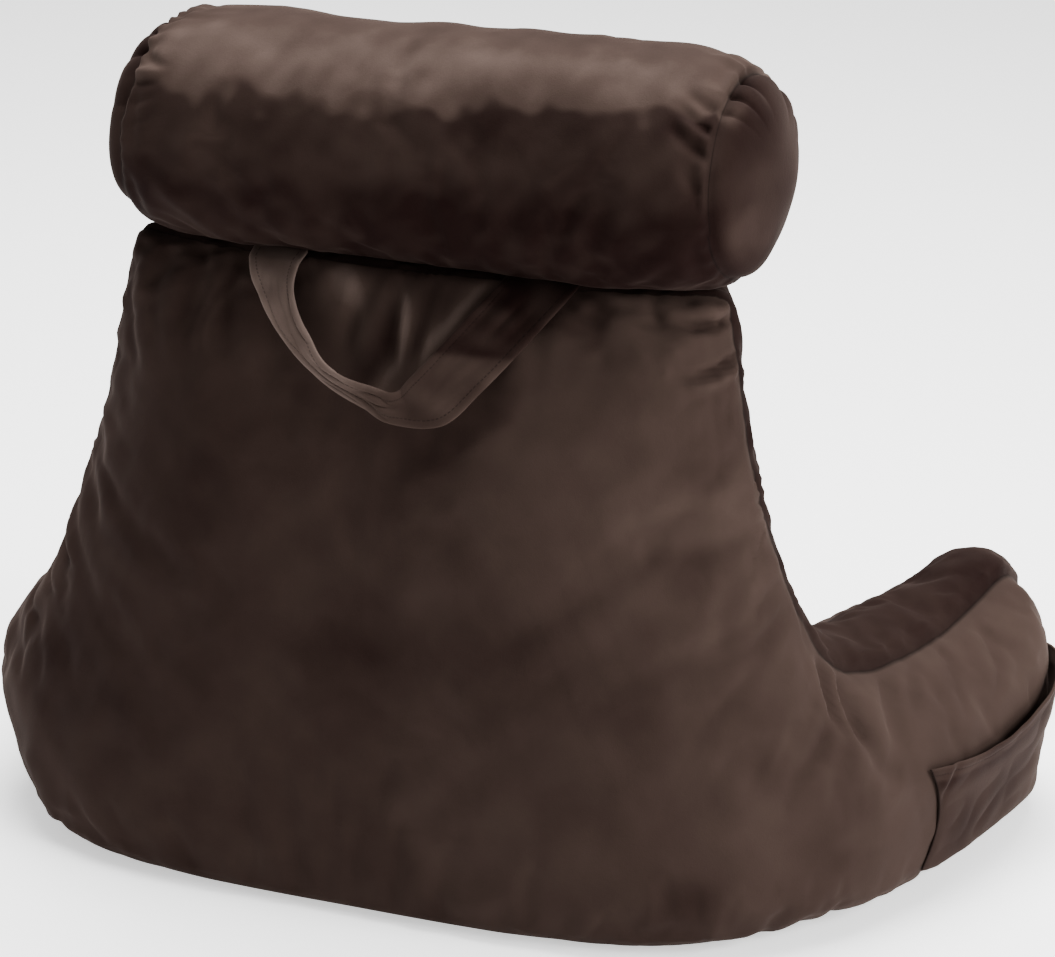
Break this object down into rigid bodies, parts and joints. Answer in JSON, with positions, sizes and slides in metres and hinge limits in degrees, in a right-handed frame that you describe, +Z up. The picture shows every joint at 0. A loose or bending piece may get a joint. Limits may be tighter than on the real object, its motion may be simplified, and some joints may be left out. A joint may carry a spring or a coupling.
{
  "type": "reading pillow",
  "caption": "Filled backrest pillow with two arms, a neck roll along its top, a carry handle on its back and a pocket on one arm.",
  "frame": {"origin": "under the middle of the whole pillow's box, on the surface it stands on", "axes": "+Z up, -Y the way a person leaning on the pillow faces, +X to that person's left"},
  "size_m": [0.8876, 0.5398, 0.6885],
  "materials": {
    "brown_velvet": "short brushed pile, dark brown",
    "brown_velvet_trim": "short brushed pile, dark brown"
  },
  "bodies": {
    "root": {"back_and_arms": "brown_velvet", "neck_roll": "brown_velvet", "carry_handle": "brown_velvet_trim", "side_pocket": "brown_velvet_trim"}
  },
  "joints": []
}
